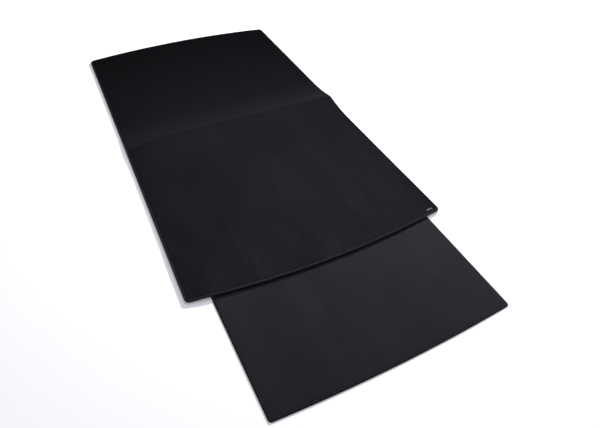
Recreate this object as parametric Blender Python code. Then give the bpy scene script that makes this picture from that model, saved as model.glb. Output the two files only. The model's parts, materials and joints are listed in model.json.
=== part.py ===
"""A cargo mat that folds in half, with a padded apron that folds out from under its rear edge.

The mat lies on a car's load floor. A crease across its middle lets the front half fold over the
rear half, and stands up in a low ridge when the mat is spread out. The apron hangs over the
loading sill, or lies flat as here, and turns under the mat to be stowed.

X is across the mat, +Y points forward, away from the apron, and Z is up from the floor. The origin
is on the floor, in the middle of the spread mat and apron. Each piece is cut flat, scored across
at the stations where the mat bends, and then laid over the ridge and over the apron's anchor.
"""

import math

import bmesh
import bpy
from mathutils import Matrix

MM = 0.001

# The mat
MAT_WIDTH = 1.054
REAR_LENGTH = 0.901  # from the crease to the rear corners
FRONT_LENGTH = 0.915  # from the crease to the front corners
REAR_BOW = 43 * MM  # how far the rear edge bulges past its corners
FRONT_BOW = 44 * MM
REAR_CORNER = 20 * MM
FRONT_CORNER = 22 * MM

# The layers of the mat, from the floor up
GAP = 0.3 * MM  # between pieces that touch
BACKING = 1.6 * MM
CORE = 4.4 * MM
CARPET = 3.4 * MM
MAT_THICKNESS = BACKING + CORE + CARPET + 2 * GAP
CORE_STOP = 4 * MM  # the core ends this far from the crease, so that the mat can fold

# The binding, a tape folded round the edge of the core
BINDING_WIDTH = 9 * MM
BINDING_WALL = 1.2 * MM
BINDING_ROUND = 2.2 * MM

# The ridge at the crease
RIDGE_HEIGHT = 20 * MM
RIDGE_REACH = 180 * MM  # on each side of the crease
RIDGE_STEPS = 6

# The apron
APRON_WIDTH = 0.903
APRON_LENGTH = 0.492  # from its fold to its rear corners
APRON_BOW = 14.4 * MM
APRON_CORNER = 12 * MM
APRON_TAPER = 0.015  # the share of its width that it loses by its rear corners
APRON_SHIFT = 8 * MM  # to the right of the mat's middle
APRON_LINING = 1.0 * MM
APRON_PADDING = 1.8 * MM
APRON_FACE = 1.0 * MM
APRON_THICKNESS = APRON_LINING + APRON_PADDING + APRON_FACE + 2 * GAP
APRON_SETBACK = 20 * MM  # its fold line lies this far inside the mat's rear corners
HEM_WIDTH = 8 * MM
HEM_WALL = 0.8 * MM
HEM_ROUND = 0.8 * MM

# The anchor and its hook-and-loop tapes, between the floor and the mat
ANCHOR_DEPTH = 140 * MM
ANCHOR_THICKNESS = 1.6 * MM
TAPE_THICKNESS = 1.2 * MM
TAPE_WIDTH = 140 * MM
TAPE_DEPTH = 50 * MM
TAPE_PLACES = {"left": -0.320, "centre": 0.0, "right": 0.320}
REAR_LIFT = ANCHOR_THICKNESS + 2 * TAPE_THICKNESS + 3 * GAP
RAMP_START = 0.600  # from the crease, where the mat starts to climb on to the anchor
RAMP_LENGTH = 0.100
RAMP_STEPS = 3

# The label, in the rear right corner
LABEL_WIDTH = 34 * MM
LABEL_DEPTH = 12 * MM
LABEL_THICKNESS = 0.6 * MM
LABEL_SIDE_INSET = 45 * MM  # from the mat's right side to the label's middle
LABEL_END_INSET = 9 * MM  # from the rear corners' line to the label's middle
LABEL_TURN = math.radians(7)
BAR_WIDTH = 26 * MM
BAR_DEPTH = 4.4 * MM
BAR_THICKNESS = 0.4 * MM

# Smoothness of the curves
BOW_STEPS = 14
CORNER_STEPS = 4

CUTTER_MARGIN = 20 * MM

# Places that follow from the sizes above
APRON_FOLD = REAR_LENGTH - APRON_SETBACK  # from the crease
REAR_REACH = APRON_FOLD + APRON_LENGTH + APRON_BOW
FRONT_REACH = FRONT_LENGTH + FRONT_BOW
CREASE_Y = (REAR_REACH - FRONT_REACH) / 2
APRON_FOLD_Y = CREASE_Y - APRON_FOLD
MAT_AXIS_Z = MAT_THICKNESS + RIDGE_HEIGHT + GAP / 2
APRON_AXIS_Z = -GAP / 2

BLACK_PILE = ("black_pile", (0.016, 0.016, 0.018), 0.95, 0.0)
GREY_FELT = ("grey_felt", (0.090, 0.090, 0.095), 0.95, 0.0)
BLACK_RUBBER = ("black_rubber", (0.020, 0.020, 0.021), 0.75, 0.0)
BLACK_TAPE = ("black_tape", (0.026, 0.026, 0.030), 0.60, 0.0)
BLACK_HOOKS = ("black_hooks", (0.012, 0.012, 0.013), 0.55, 0.0)
COATED_CLOTH = ("coated_cloth", (0.030, 0.030, 0.036), 0.55, 0.0)
BLACK_FLEECE = ("black_fleece", (0.018, 0.018, 0.020), 0.95, 0.0)
LABEL_CLOTH = ("label_cloth", (0.010, 0.010, 0.011), 0.80, 0.0)
PALE_THREAD = ("pale_thread", (0.550, 0.550, 0.560), 0.70, 0.0)


def clear_scene():
    for item in list(bpy.data.objects):
        bpy.data.objects.remove(item, do_unlink=True)


def new_collection(name):
    collection = bpy.data.collections.new(name)
    bpy.context.scene.collection.children.link(collection)
    return collection


def material(finish):
    name, colour, roughness, metallic = finish
    found = bpy.data.materials.get(name)
    if found:
        return found
    made = bpy.data.materials.new(name)
    made.use_nodes = True
    shader = made.node_tree.nodes["Principled BSDF"]
    shader.inputs["Base Color"].default_value = (*colour, 1.0)
    shader.inputs["Roughness"].default_value = roughness
    shader.inputs["Metallic"].default_value = metallic
    return made


def ramp(start, end, steps):
    """Distances from start to end, in equal steps."""
    return [start + (end - start) * i / steps for i in range(steps + 1)]


RIDGE_STATIONS = ramp(0.0, RIDGE_REACH, RIDGE_STEPS)
RAMP_STATIONS = ramp(RAMP_START, RAMP_START + RAMP_LENGTH, RAMP_STEPS)


def rear_lie(distance):
    """Height of the rear half's underside above the floor at a station, by distance from the crease."""
    if distance <= RIDGE_REACH:
        return front_lie(distance)
    share = min(1.0, max(0.0, (distance - RAMP_START) / RAMP_LENGTH))
    return REAR_LIFT * share * share * (3 - 2 * share)


def front_lie(distance):
    """The same for the front half: a ridge that is steepest at the crease and dies away."""
    return RIDGE_HEIGHT * max(0.0, 1 - distance / RIDGE_REACH) ** 2


def between_stations(distance, stations, lie):
    """The height at any distance, straight between the stations, so that the faces stay flat."""
    reach = max(distance, 0.0)
    if reach >= stations[-1]:
        return lie(stations[-1])
    far = next(i for i, station in enumerate(stations) if station > reach)
    share = (reach - stations[far - 1]) / (stations[far] - stations[far - 1])
    return lie(stations[far - 1]) * (1 - share) + lie(stations[far]) * share


REAR_STATIONS = RIDGE_STATIONS + RAMP_STATIONS


def lay_rear(distance):
    return between_stations(distance, REAR_STATIONS, rear_lie)


def lay_front(distance):
    return between_stations(distance, RIDGE_STATIONS, front_lie)


def lay_flat(_distance):
    return 0.0


def bowed_outline(width, length, bow, corner, inset=0.0, stop=0.0):
    """A panel with one square end, at the distance stop, and one bowed end with rounded corners.

    Points are (across, distance). inset draws the same outline that much further in.
    """
    half = width / 2
    radius = (half**2 + bow**2) / (2 * bow)
    centre = length + bow - radius
    corner_across = half - corner
    corner_distance = centre + math.sqrt((radius - corner) ** 2 - corner_across**2)
    bow_angle = math.atan2(corner_across, corner_distance - centre)
    corner_radius = max(corner - inset, 0.5 * MM)
    corner_slip = corner - inset - corner_radius
    right = [(half - inset, stop)]
    for i in range(CORNER_STEPS):
        angle = (math.pi / 2 - bow_angle) * i / CORNER_STEPS
        right.append(
            (
                corner_across + corner_slip + corner_radius * math.cos(angle),
                corner_distance + corner_slip + corner_radius * math.sin(angle),
            )
        )
    end = []
    for angle in ramp(bow_angle, -bow_angle, BOW_STEPS):
        end.append(((radius - inset) * math.sin(angle), centre + (radius - inset) * math.cos(angle)))
    left = [(-across, distance) for across, distance in reversed(right)]
    return right + end + left


def rectangle(width, near, far):
    return [(width / 2, near), (width / 2, far), (-width / 2, far), (-width / 2, near)]


def cut_flat(name, outline, thickness):
    """A flat piece cut to an outline of (x, y) points, as a mesh from z = 0 up."""
    curve = bpy.data.curves.new(name, "CURVE")
    curve.dimensions = "2D"
    curve.fill_mode = "BOTH"
    curve.extrude = thickness / 2
    spline = curve.splines.new("POLY")
    spline.points.add(len(outline) - 1)
    for point, (x, y) in zip(spline.points, outline):
        point.co = (x, y, 0.0, 1.0)
    spline.use_cyclic_u = True
    drawn = bpy.data.objects.new(name, curve)
    bpy.context.scene.collection.objects.link(drawn)
    bpy.context.view_layer.update()
    evaluated = drawn.evaluated_get(bpy.context.evaluated_depsgraph_get())
    mesh = bpy.data.meshes.new_from_object(evaluated)
    bpy.data.objects.remove(drawn, do_unlink=True)
    mesh.name = name
    mesh.transform(Matrix.Translation((0, 0, thickness / 2)))
    shape = bmesh.new()
    shape.from_mesh(mesh)
    bmesh.ops.remove_doubles(shape, verts=shape.verts, dist=0.01 * MM)
    bmesh.ops.dissolve_limit(
        shape, angle_limit=math.radians(0.5), verts=shape.verts, edges=shape.edges
    )
    bmesh.ops.recalc_face_normals(shape, faces=shape.faces)
    shape.to_mesh(mesh)
    shape.free()
    return mesh


def score_and_lay(mesh, panel, bottom):
    """Scores a flat piece across at its panel's stations, and lays it bottom above the panel's lie."""
    shape = bmesh.new()
    shape.from_mesh(mesh)
    for station in panel.stations:
        bmesh.ops.bisect_plane(
            shape,
            geom=shape.verts[:] + shape.edges[:] + shape.faces[:],
            plane_co=(0, panel.fold_y + panel.direction * station, 0),
            plane_no=(0, 1, 0),
            dist=0.001 * MM,
        )
    for corner in shape.verts:
        distance = (corner.co.y - panel.fold_y) * panel.direction
        corner.co.z += bottom + panel.lay(distance)
    shape.to_mesh(mesh)
    shape.free()


class Body:
    """A group of pieces that move together, with their parent empty on their joint's axis."""

    def __init__(self, name, collection, axis_at):
        self.collection = collection
        self.axis = bpy.data.objects.new(name, None)
        self.axis.location = axis_at
        self.axis.empty_display_size = 0.1
        collection.objects.link(self.axis)
        self.to_axis = Matrix.Translation([-value for value in axis_at])

    def add(self, mesh, finish):
        """Makes a piece of a mesh in world coordinates, with its origin on the body's axis."""
        mesh.transform(self.to_axis)
        mesh.materials.clear()
        mesh.materials.append(material(finish))
        piece = bpy.data.objects.new(mesh.name, mesh)
        piece.parent = self.axis
        self.collection.objects.link(piece)
        return piece


class Panel:
    """A sewn panel of three layers with a bound edge, cut from its fold line towards its bowed end."""

    def __init__(self, fold_y, direction, sizes, stations, lay, taper=0.0, shift=0.0):
        self.fold_y = fold_y
        self.direction = direction
        self.sizes = sizes
        self.stations = stations
        self.lay = lay
        self.taper = taper
        self.shift = shift

    def layer(self, name, bottom, thickness, inset, stop):
        length = self.sizes[1]
        placed = []
        for across, distance in bowed_outline(*self.sizes, inset, stop):
            narrowing = 1 - self.taper * distance / length
            x = across * narrowing + self.shift
            placed.append((x, self.fold_y + self.direction * distance))
        mesh = cut_flat(name, placed, thickness)
        score_and_lay(mesh, self, bottom)
        return mesh


REAR = Panel(
    CREASE_Y, -1, (MAT_WIDTH, REAR_LENGTH, REAR_BOW, REAR_CORNER), REAR_STATIONS, lay_rear
)
FRONT = Panel(
    CREASE_Y, 1, (MAT_WIDTH, FRONT_LENGTH, FRONT_BOW, FRONT_CORNER), RIDGE_STATIONS, lay_front
)
APRON = Panel(
    APRON_FOLD_Y,
    -1,
    (APRON_WIDTH, APRON_LENGTH, APRON_BOW, APRON_CORNER),
    [],
    lay_flat,
    APRON_TAPER,
    APRON_SHIFT,
)

# Each layer is its name, thickness and finish, and each edge its name, width, wall and rounding
MAT_LAYERS = (
    ("backing", BACKING, BLACK_RUBBER),
    ("core", CORE, GREY_FELT),
    ("carpet", CARPET, BLACK_PILE),
)
MAT_EDGE = ("binding", BINDING_WIDTH, BINDING_WALL, BINDING_ROUND)
APRON_LAYERS = (
    ("lining", APRON_LINING, BLACK_FLEECE),
    ("padding", APRON_PADDING, GREY_FELT),
    ("face", APRON_FACE, COATED_CLOTH),
)
APRON_EDGE = ("hem", HEM_WIDTH, HEM_WALL, HEM_ROUND)


def cut_with(piece, mesh, body, cutters):
    """Cuts a piece with a mesh in world coordinates, which is kept as a wire guide."""
    mesh.transform(body.to_axis)
    cutter = bpy.data.objects.new(mesh.name, mesh)
    cutter.parent = body.axis
    cutter.display_type = "WIRE"
    cutter.hide_render = True
    cutters.objects.link(cutter)
    cut = piece.modifiers.new(mesh.name, "BOOLEAN")
    cut.operation = "DIFFERENCE"
    cut.solver = "EXACT"
    cut.object = cutter


def round_rim(mesh, fold_y, radius):
    """Rounds the outer top and bottom edges of a panel, all but those at its fold line."""
    shape = bmesh.new()
    shape.from_mesh(mesh)
    rim = [
        edge
        for edge in shape.edges
        if sum(abs(face.normal.z) > 0.5 for face in edge.link_faces) == 1
        and max(abs(end.co.y - fold_y) for end in edge.verts) > MM
    ]
    bmesh.ops.bevel(shape, geom=rim, offset=radius, segments=2, profile=0.5, affect="EDGES")
    shape.to_mesh(mesh)
    shape.free()


def bind_edge(prefix, panel, edge, body, cutters, whole, groove_bottom, groove_top):
    """An edge tape of C section: a whole panel, opened inside its width and grooved for the core."""
    kind, width, wall, rounding = edge
    name = f"{prefix}_{kind}"
    mesh = panel.layer(name, 0.0, whole, 0.0, GAP / 2)
    round_rim(mesh, panel.fold_y, rounding)
    piece = body.add(mesh, BLACK_TAPE)
    tall = whole + 2 * CUTTER_MARGIN
    opening = panel.layer(name + "_opening", -CUTTER_MARGIN, tall, width, -CUTTER_MARGIN)
    cut_with(piece, opening, body, cutters)
    depth = groove_top - groove_bottom
    groove = panel.layer(name + "_groove", groove_bottom, depth, wall, -CUTTER_MARGIN)
    cut_with(piece, groove, body, cutters)


def build_panel(prefix, panel, layers, edge, body, cutters):
    """The layers of a panel from the floor up, the middle one reaching into the groove of its edge."""
    skin_inset = edge[1] + GAP
    core_inset = edge[2] + GAP
    bottom = 0.0
    for number, (kind, thickness, finish) in enumerate(layers):
        middle = number == 1
        inset = core_inset if middle else skin_inset
        stop = CORE_STOP if middle else GAP / 2
        mesh = panel.layer(f"{prefix}_{kind}", bottom, thickness, inset, stop)
        body.add(mesh, finish)
        bottom += thickness + GAP
    whole = bottom - GAP
    groove_bottom = layers[0][1]
    groove_top = whole - layers[2][1]
    bind_edge(prefix, panel, edge, body, cutters, whole, groove_bottom, groove_top)


def build_anchor(body):
    """The flap that holds the apron under the mat, and the hook and loop tapes that join the two."""
    near = APRON_FOLD_Y + GAP / 2
    far = APRON_FOLD_Y + ANCHOR_DEPTH
    flap = [(x + APRON_SHIFT, y) for x, y in rectangle(APRON_WIDTH, near, far)]
    body.add(cut_flat("apron_anchor", flap, ANCHOR_THICKNESS), COATED_CLOTH)
    middle = (near + far) / 2
    tape = rectangle(TAPE_WIDTH, middle - TAPE_DEPTH / 2, middle + TAPE_DEPTH / 2)
    hook_bottom = ANCHOR_THICKNESS + GAP
    loop_bottom = hook_bottom + TAPE_THICKNESS + GAP
    for place, x_middle in TAPE_PLACES.items():
        outline = [(x + x_middle, y) for x, y in tape]
        for kind, bottom in (("hook_tape", hook_bottom), ("loop_tape", loop_bottom)):
            mesh = cut_flat(f"{kind}_{place}", outline, TAPE_THICKNESS)
            mesh.transform(Matrix.Translation((0, 0, bottom)))
            body.add(mesh, BLACK_HOOKS)


def build_label(body):
    """A woven label sewn on the rear right corner, with a plain pale bar and no lettering."""
    x = MAT_WIDTH / 2 - LABEL_SIDE_INSET
    y = CREASE_Y - REAR_LENGTH + LABEL_END_INSET
    carpet_top = REAR_LIFT + MAT_THICKNESS
    turn = Matrix.Rotation(LABEL_TURN, 4, "Z")
    cloth_bottom = carpet_top + GAP
    bar_bottom = cloth_bottom + LABEL_THICKNESS + GAP
    for name, width, depth, thickness, bottom, finish in (
        ("label_cloth", LABEL_WIDTH, LABEL_DEPTH, LABEL_THICKNESS, cloth_bottom, LABEL_CLOTH),
        ("label_bar", BAR_WIDTH, BAR_DEPTH, BAR_THICKNESS, bar_bottom, PALE_THREAD),
    ):
        mesh = cut_flat(name, rectangle(width, -depth / 2, depth / 2), thickness)
        mesh.transform(Matrix.Translation((x, y, bottom)) @ turn)
        body.add(mesh, finish)


def main():
    clear_scene()
    parts = new_collection("folding_cargo_mat")
    cutters = new_collection("cutters")
    rear_half = Body("rear_half", parts, (0.0, 0.0, 0.0))
    front_half = Body("front_half", parts, (0.0, CREASE_Y, MAT_AXIS_Z))
    apron = Body("apron", parts, (0.0, APRON_FOLD_Y, APRON_AXIS_Z))
    build_panel("rear", REAR, MAT_LAYERS, MAT_EDGE, rear_half, cutters)
    build_anchor(rear_half)
    build_label(rear_half)
    build_panel("front", FRONT, MAT_LAYERS, MAT_EDGE, front_half, cutters)
    build_panel("apron", APRON, APRON_LAYERS, APRON_EDGE, apron, cutters)
    bpy.context.view_layer.update()


main()
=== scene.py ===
# %% [markdown]
# # A folding cargo mat with a fold-out apron
#
# The mat lies on a car's load floor. It is a sandwich of three layers: a velour carpet on top, a felt
# core in the middle and a studded rubber backing underneath, held together by a tape bound round the
# edge. A crease across its middle lets the front half fold over the rear half. A thinner apron comes
# out from under the rear edge and covers the loading sill.
#
# Everything here is dressed round a fixed frame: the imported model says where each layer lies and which
# body it moves with, and this lesson makes the cloth, tape, thread and rubber that a person would see.

import json
import math

import bmesh
import bpy
import numpy as np
from mathutils import Matrix, Vector


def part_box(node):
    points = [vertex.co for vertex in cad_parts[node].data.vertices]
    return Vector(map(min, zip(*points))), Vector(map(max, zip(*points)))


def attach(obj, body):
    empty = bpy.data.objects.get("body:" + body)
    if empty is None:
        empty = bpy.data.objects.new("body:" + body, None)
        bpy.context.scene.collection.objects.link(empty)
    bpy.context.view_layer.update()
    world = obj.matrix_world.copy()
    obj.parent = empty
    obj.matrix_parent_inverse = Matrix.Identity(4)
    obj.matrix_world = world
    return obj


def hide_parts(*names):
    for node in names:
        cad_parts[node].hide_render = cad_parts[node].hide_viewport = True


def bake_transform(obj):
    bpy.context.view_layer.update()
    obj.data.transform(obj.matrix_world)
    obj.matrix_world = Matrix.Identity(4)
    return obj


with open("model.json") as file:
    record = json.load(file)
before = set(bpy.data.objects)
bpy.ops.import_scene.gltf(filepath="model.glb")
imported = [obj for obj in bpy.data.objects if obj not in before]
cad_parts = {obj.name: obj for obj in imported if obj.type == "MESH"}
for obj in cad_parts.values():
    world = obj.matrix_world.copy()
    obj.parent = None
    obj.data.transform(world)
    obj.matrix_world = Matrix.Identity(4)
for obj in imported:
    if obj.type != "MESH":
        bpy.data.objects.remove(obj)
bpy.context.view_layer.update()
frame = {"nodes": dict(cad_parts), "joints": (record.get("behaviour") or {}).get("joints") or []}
joints = {joint["name"]: joint for joint in frame["joints"]}

# %% [markdown]
# ## Sizes
#
# Places are read from the frame, so a piece can't drift away from the part it dresses. Only what a box
# can't tell is given here: how far the ends bow out, how round the corners are, and how the mat lies.
# The crease stands up in a ridge, and the rear edge climbs over the apron that is tucked beneath it.
# That edge was also cut a few millimetres out of square.

# %% Sizes read from the frame
MM = 0.001


def low(node):
    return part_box(node)[0]


def high(node):
    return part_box(node)[1]


CREASE_Y = joints["mat_fold"]["pos_m"][1]
FOLD_Y = joints["apron_fold"]["pos_m"][1]
MAT_HALF = high("rear_binding").x
REAR_BOW, FRONT_BOW, APRON_BOW = 43 * MM, 44 * MM, 14.4 * MM
REAR_SKEW = 5 * MM
REAR_LENGTH = CREASE_Y - low("rear_binding").y - REAR_BOW
FRONT_LENGTH = high("front_binding").y - CREASE_Y - FRONT_BOW
REAR_CORNER, FRONT_CORNER, APRON_CORNER = 20 * MM, 22 * MM, 12 * MM
MAT_TOP = 10 * MM
RIDGE_HEIGHT, RIDGE_REACH = 20 * MM, 180 * MM
TAPE_GAP = 0.3 * MM
REAR_LIFT = high("loop_tape_left").z + TAPE_GAP
RAMP_START, RAMP_LENGTH = 0.600, 0.100
APRON_LOW, APRON_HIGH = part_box("apron_hem")
APRON_MIDDLE = (APRON_LOW.x + APRON_HIGH.x) / 2
APRON_WIDTH = APRON_HIGH.x - APRON_LOW.x
APRON_LENGTH = FOLD_Y - APRON_LOW.y - APRON_BOW
APRON_TAPER = 0.015
APRON_TOP = high("apron_face").z
print("mat halves:", round(REAR_LENGTH, 4), round(FRONT_LENGTH, 4), "apron:", round(APRON_LENGTH, 4))
print("the rear edge is lifted by", round(REAR_LIFT * 1000, 1), "mm")

# %% [markdown]
# ## The camera
#
# The camera stands to the left of the apron and looks down across the mat. A new camera looks straight
# down, so its turn is built from three plain rotations: to the right, up from straight down, and a
# slight roll of the horizon.

# %% Camera
LENS, SENSOR_WIDTH = 28.36, 36.0
CAMERA_PLACE = (-0.6172, CREASE_Y - 1.8481, 1.338)
TO_THE_RIGHT, UPWARDS, ROLL = -28.14, 44.70, 2.0


def turn_about(axis, degrees):
    return Matrix.Rotation(math.radians(degrees), 4, axis)


camera_data = bpy.data.cameras.new("camera")
camera_data.lens = LENS
camera_data.sensor_width = SENSOR_WIDTH
camera = bpy.data.objects.new("camera", camera_data)
bpy.context.scene.collection.objects.link(camera)
camera_turn = turn_about("Z", TO_THE_RIGHT) @ turn_about("X", UPWARDS) @ turn_about("Z", ROLL)
camera.matrix_world = Matrix.Translation(CAMERA_PLACE) @ camera_turn
bpy.context.scene.camera = camera
print("camera height:", round(camera.location.z, 3))

# %% [markdown]
# ## The shape of a bound panel
#
# The mat and the apron share one kind of outline: straight sides, a bowed end and rounded corners. The
# corner and the bow are arcs, so drawing the same panel a little further in only makes the arcs
# smaller. That gives the binding, the seam and the carpet edges that stay parallel all the way round.

# %% A panel outline
CORNER_STEPS = 7
BOW_STEPS = 70


class PanelEnd:
    """The sides and bowed end of a panel, as (across, along) measured from its fold line."""

    def __init__(self, width, length, bow, corner):
        self.half = width / 2
        self.length, self.bow, self.corner = length, bow, corner
        self.radius = (self.half**2 + bow**2) / (2 * bow)
        self.centre = length + bow - self.radius
        self.corner_across = self.half - corner
        rise = math.sqrt((self.radius - corner) ** 2 - self.corner_across**2)
        self.corner_along = self.centre + rise
        self.bow_angle = math.atan2(self.corner_across, rise)

    def rim(self, inset, stations):
        """Points from the fold line up the right side, round the end, and down the left side."""
        side = [(self.half - inset, s) for s in stations if s < self.corner_along - 2 * MM]
        tip = self.corner - inset
        corner = []
        for i in range(CORNER_STEPS):
            angle = (math.pi / 2 - self.bow_angle) * i / CORNER_STEPS
            across = self.corner_across + tip * math.cos(angle)
            corner.append((across, self.corner_along + tip * math.sin(angle)))
        right = side + corner
        reach = self.radius - inset
        end = []
        for i in range(BOW_STEPS + 1):
            angle = self.bow_angle * (1 - 2 * i / BOW_STEPS)
            end.append((reach * math.sin(angle), self.centre + reach * math.cos(angle)))
        return right + end + [(-across, along) for across, along in reversed(right)]

    def outward(self, across, along):
        """The direction straight out of the panel at a point near its rim."""
        side = math.copysign(1.0, across)
        to_corner = Vector((abs(across) - self.corner_across, along - self.corner_along))
        angle = math.atan2(to_corner.y, to_corner.x)
        if along < self.corner_along or angle < 0:
            return Vector((side, 0.0))
        if angle < math.pi / 2 - self.bow_angle and to_corner.length > 1e-6:
            to_corner.normalize()
            return Vector((side * to_corner.x, to_corner.y))
        return Vector((across, along - self.centre)).normalized()


rear_end = PanelEnd(2 * MAT_HALF, REAR_LENGTH, REAR_BOW, REAR_CORNER)
front_end = PanelEnd(2 * MAT_HALF, FRONT_LENGTH, FRONT_BOW, FRONT_CORNER)
apron_end = PanelEnd(APRON_WIDTH, APRON_LENGTH, APRON_BOW, APRON_CORNER)
print("bow radii:", [round(end.radius, 2) for end in (rear_end, front_end, apron_end)])

# %% [markdown]
# ## Stations along the mat
#
# Cloth that bends needs points close together, and cloth that lies flat doesn't. The rows are spaced
# finely next to the crease, where the mat turns when it folds, and widely elsewhere.

# %% Stations
FINE_REACH = 60 * MM


def stations_to(length, fine, coarse):
    """Distances from the crease: fine steps close to it, then coarse steps."""
    near = list(np.arange(0.0, FINE_REACH - 1e-9, fine))
    return near + list(np.arange(FINE_REACH, length, coarse))


def smoothstep(value):
    share = np.clip(value, 0.0, 1.0)
    return share * share * (3 - 2 * share)


print("stations on the rear half:", len(stations_to(REAR_LENGTH, 4 * MM, 12 * MM)))

# %% [markdown]
# ## How the mat lies
#
# Every layer of the mat follows the same gentle landscape, so that the layers stay stacked: the ridge
# at the crease, which has settled almost flat at the left side, the climb on to the apron, and the two
# rear corners that hang past the apron and sink back to the floor. A few slow waves keep the cloth from
# looking like a board.

# %% The lie of the mat
CORNER_SAG, SAG_REACH = 3.6 * MM, 75 * MM
RIDGE_SETTLE, SETTLE_FROM, SETTLE_REACH = 0.85, 0.38, 0.15
WAVE, CALM_REACH, WAVE_REACH = 0.35 * MM, 0.05, 0.2
APRON_WAVE, APRON_CALM_REACH, APRON_WAVE_REACH = 0.3 * MM, 0.02, 0.15


def waves(x, y):
    """A slow ripple between 0 and 1."""
    ripple = np.sin(7.3 * x + 1.1 + 2.1 * np.sin(3.1 * y)) + np.sin(9.7 * y + 0.4 + 1.7 * np.sin(4.3 * x))
    return 0.5 + 0.25 * ripple


def mat_lie(x, y):
    """The height of the mat's underside above the floor."""
    x, y = np.asarray(x, float), np.asarray(y, float)
    from_crease = np.abs(y - CREASE_Y)
    settled = 1 - RIDGE_SETTLE * smoothstep((-x - SETTLE_FROM) / SETTLE_REACH)
    ridge = RIDGE_HEIGHT * settled * np.clip(1 - from_crease / RIDGE_REACH, 0, None) ** 2
    climb = REAR_LIFT * smoothstep((CREASE_Y - y - RAMP_START) / RAMP_LENGTH)
    past_apron = np.abs(x - APRON_MIDDLE) - APRON_WIDTH / 2
    sag = CORNER_SAG * smoothstep(past_apron / SAG_REACH) * climb / REAR_LIFT
    waving = smoothstep((from_crease - CALM_REACH) / WAVE_REACH)
    return ridge + climb - sag + WAVE * waves(x, y) * waving


def apron_lie(x, y):
    """The height of the apron's underside above the floor."""
    x, y = np.asarray(x, float), np.asarray(y, float)
    waving = smoothstep((FOLD_Y - y - APRON_CALM_REACH) / APRON_WAVE_REACH)
    return APRON_WAVE * waves(1.3 * x + 2.0, 1.2 * y) * waving


print("lie at the crease:", round(float(mat_lie(0.5, CREASE_Y)) * 1000, 2), "mm")
print("lie at a rear corner:", round(float(mat_lie(0.5, CREASE_Y - 0.89)) * 1000, 2), "mm")

# %% [markdown]
# ## Cutting cloth
#
# A layer starts as its outline, filled with one face. The face is then cut across and along by planes,
# as a cutter scores a blank, which leaves a tidy grid that still follows the outline exactly. Narrow
# strips are added round the rim so that the cloth can roll down into its seam. Solidify would do for
# the thickness, and it is applied at once so that the finished piece is a plain mesh.

# %% Cutting helpers


def link(mesh):
    piece = bpy.data.objects.new(mesh.name, mesh)
    bpy.context.scene.collection.objects.link(piece)
    return piece


def to_mesh(shape, name):
    """Turns a bmesh into a named mesh."""
    mesh = bpy.data.meshes.new(name)
    shape.to_mesh(mesh)
    shape.free()
    return mesh


def planes(shape, axis, places):
    """Cuts every face of a shape by planes square to an axis."""
    normal = Vector((axis == 0, axis == 1, 0))
    for place in places:
        at = normal * place
        geometry = shape.verts[:] + shape.edges[:] + shape.faces[:]
        bmesh.ops.bisect_plane(shape, geom=geometry, plane_co=at, plane_no=normal, dist=1e-6)


def cut_cloth(name, rim, x_places, y_places, strips=(), outward=None, open_y=None):
    """A flat cloth of an outline, scored into a grid, with strips (step out, drop) added round it.

    The drop is kept in z, to be added to the cloth's lie. open_y is a straight end with no strips.
    """
    shape = bmesh.new()
    shape.faces.new([shape.verts.new((x, y, 0.0)) for x, y in rim])
    planes(shape, 0, x_places)
    planes(shape, 1, y_places)
    edges = [edge for edge in shape.edges if edge.is_boundary]
    if open_y is not None:
        edges = [e for e in edges if any(abs(v.co.y - open_y) > 1e-5 for v in e.verts)]
    for step, drop in strips:
        made = bmesh.ops.extrude_edge_only(shape, edges=edges)["geom"]
        edges = [item for item in made if isinstance(item, bmesh.types.BMEdge) and item.is_boundary]
        fresh = {item for item in made if isinstance(item, bmesh.types.BMVert)}
        edges = [edge for edge in edges if set(edge.verts) <= fresh]
        for corner in fresh:
            way = outward(corner.co.x, corner.co.y)
            corner.co.x += way.x * step
            corner.co.y += way.y * step
            corner.co.z = -drop
    bmesh.ops.recalc_face_normals(shape, faces=shape.faces)
    if sum(face.normal.z for face in shape.faces) < 0:
        bmesh.ops.reverse_faces(shape, faces=shape.faces)
    return to_mesh(shape, name)


def coordinates(mesh):
    values = np.zeros(len(mesh.vertices) * 3, np.float32)
    mesh.vertices.foreach_get("co", values)
    return values.reshape(-1, 3).astype(float)


def lay(mesh, lie, level):
    """Lowers a flat cloth on to its lie, level above it."""
    points = coordinates(mesh)
    points[:, 2] += lie(points[:, 0], points[:, 1]) + level
    mesh.vertices.foreach_set("co", points.astype(np.float32).ravel())
    mesh.update()


def map_flat(mesh):
    """A UV map in metres, as the cloth was cut, so that a pattern stays on it when it folds."""
    layer = mesh.uv_layers.new(name="cut")
    points = coordinates(mesh)
    corners = np.zeros(len(mesh.loops), np.int32)
    mesh.loops.foreach_get("vertex_index", corners)
    layer.data.foreach_set("uv", points[corners, :2].astype(np.float32).ravel())


def thicken(piece, thickness):
    """Gives a cloth its thickness downwards, as a plain mesh."""
    solid = piece.modifiers.new("thickness", "SOLIDIFY")
    solid.thickness = thickness
    solid.offset = -1
    settle(piece)


def settle(piece):
    """Turns a piece and its modifiers into one plain mesh."""
    bpy.context.view_layer.update()
    evaluated = piece.evaluated_get(bpy.context.evaluated_depsgraph_get())
    mesh = bpy.data.meshes.new_from_object(evaluated)
    piece.modifiers.clear()
    old = piece.data
    piece.data = mesh
    mesh.name = piece.name
    if isinstance(old, bpy.types.Mesh):
        bpy.data.meshes.remove(old)


def finish_cloth(mesh, material, thickness):
    """A laid cloth with its map, its finish and its thickness."""
    map_flat(mesh)
    mesh.materials.append(material)
    piece = link(mesh)
    thicken(piece, thickness)
    piece.data.shade_smooth()
    return piece


print("cutting helpers ready")

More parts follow.
